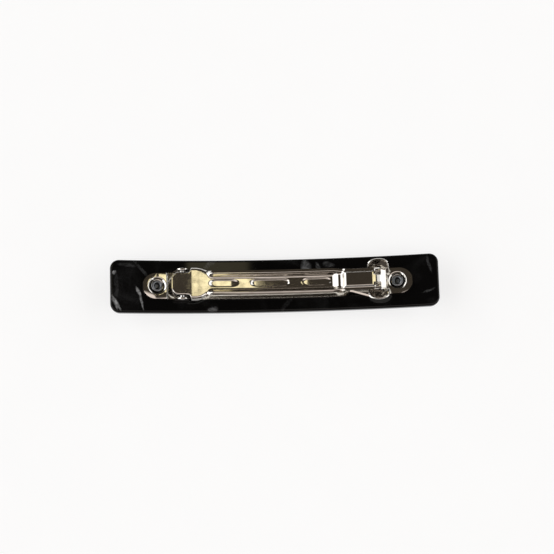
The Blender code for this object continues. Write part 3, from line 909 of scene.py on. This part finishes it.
# ---------------------------------------------------------------- stage, light and camera

FLOOR_HALF_SIZE = 4.0
FLOOR_GAP = 0.03 * MM

# The colours of the room and of what lights it
DIM_ROOM = (0.045, 0.037, 0.028)
NEAR_PANEL = (0.95, 0.84, 0.78)
LEFT_SOFTBOX = (2.1, 2.1, 2.1)
RIGHT_SOFTBOX = (1.5, 1.5, 1.5)
CREAM_CARD = (1.36, 1.2, 0.74)

# The camera looks straight down on the bar, which is moved and turned a little under it: angles in radians
CAMERA_HEIGHT = 454.33 * MM
CAMERA_LENS = 98.09
CAMERA_SENSOR = 36
VIEW_SHIFT = (-0.8924 * MM, -3.2019 * MM, 0)
VIEW_PITCH = -0.169149
VIEW_ROLL = 0.041121
VIEW_YAW = 0.021698


def stage_floor():
    """A plain pale floor under the bar."""
    bm = bmesh.new()
    bmesh.ops.create_grid(bm, x_segments=8, y_segments=8, size=FLOOR_HALF_SIZE)
    bm.transform(Matrix.Translation((0, 0, cad_box[0].z - FLOOR_GAP)))
    mesh = bpy.data.meshes.new("floor")
    bm.to_mesh(mesh)
    bm.free()
    mesh.materials.append(floor_paper("pale_floor_paper"))
    obj = bpy.data.objects.new("floor", mesh)
    bpy.context.scene.collection.objects.link(obj)


def studio_light():
    """A dim room with a white softbox past each end of the bar, a near panel, and one cream card above.

    u and v say where a direction meets a level plane above the bar, and lean how far it is from upright.
    """
    world = bpy.data.worlds.new("studio")
    bpy.context.scene.world = world
    nodes = Nodes(world, "Background")
    axes = nodes.axes(nodes.coordinates["Generated"])
    east, north = axes["X"], axes["Y"]
    up = nodes.math("MAXIMUM", axes["Z"], 0.001)
    u, v = nodes.math("DIVIDE", east, up), nodes.math("DIVIDE", north, up)
    level = nodes.math("SQRT", nodes.math("MULTIPLY_ADD", east, east, nodes.math("MULTIPLY", north, north)))
    lean = nodes.math("DIVIDE", level, up)
    sideways = nodes.math("DIVIDE", nodes.math("ABSOLUTE", east), nodes.math("MAXIMUM", level, 0.001))

    panel = nodes.math("MULTIPLY", nodes.ramp(v, -0.03, -0.22), nodes.ramp(lean, 0.45, 1.2, 1.0, 0.03))
    colour = nodes.mix(panel, DIM_ROOM, NEAR_PANEL)
    softbox = nodes.math("MULTIPLY", nodes.ramp(sideways, 0.62, 0.8), nodes.ramp(lean, 0.5, 0.8))
    colour = nodes.mix(softbox, colour, nodes.mix(nodes.ramp(east, -0.1, 0.1), LEFT_SOFTBOX, RIGHT_SOFTBOX))
    # The card's ends are square across, and its far side is a little slanted
    across = nodes.math("MULTIPLY", nodes.ramp(u, 0.095, 0.115), nodes.ramp(u, 0.262, 0.25))
    slanted = nodes.math("MULTIPLY_ADD", nodes.math("SUBTRACT", u, 0.12), 0.19, v)
    along = nodes.math("MULTIPLY", nodes.ramp(slanted, 0.150, 0.160), nodes.ramp(v, 0.45, 0.36))
    colour = nodes.mix(nodes.math("MULTIPLY", across, along), colour, CREAM_CARD)
    nodes.set(Color=colour)


def camera():
    """A long lens above the near side, a little off square to the bar."""
    shift = Matrix.Translation(VIEW_SHIFT)
    pitch = Matrix.Rotation(VIEW_PITCH, 4, "X")
    roll = Matrix.Rotation(VIEW_ROLL, 4, "Y")
    yaw = Matrix.Rotation(VIEW_YAW, 4, "Z")
    data = bpy.data.cameras.new("camera")
    data.sensor_width = CAMERA_SENSOR
    data.lens = CAMERA_LENS
    data.clip_start = 0.01
    data.clip_end = 20
    obj = bpy.data.objects.new("camera", data)
    bpy.context.scene.collection.objects.link(obj)
    obj.matrix_world = (Matrix.Translation((0, 0, -CAMERA_HEIGHT)) @ roll @ shift @ pitch @ yaw).inverted()
    bpy.context.scene.camera = obj


def main():
    """Sets the stage, makes the materials and builds every piece."""
    camera()
    studio_light()
    stage_floor()
    nickel, pin_steel, spring_steel, rivet_metal = [metal(name, *finish) for name, finish in METALS.items()]
    acetate_bar(acetate("smoky_black_acetate"))
    base_plate(nickel)
    rivet("rolled_rivet_hinge_end", "rivet_hinge_end", RIVET_LEFT, rivet_metal)
    rivet("rolled_rivet_latch_end", "rivet_latch_end", RIVET_RIGHT, rivet_metal)
    hinge_pin(pin_steel)
    tension_spring(spring_steel)
    clasp_arm(nickel)
    latch_prong("winged_prong_near", "latch_prong_near", -1, nickel)
    latch_prong("winged_prong_far", "latch_prong_far", 1, nickel)
    bpy.context.scene.view_settings.view_transform = "Standard"


main()
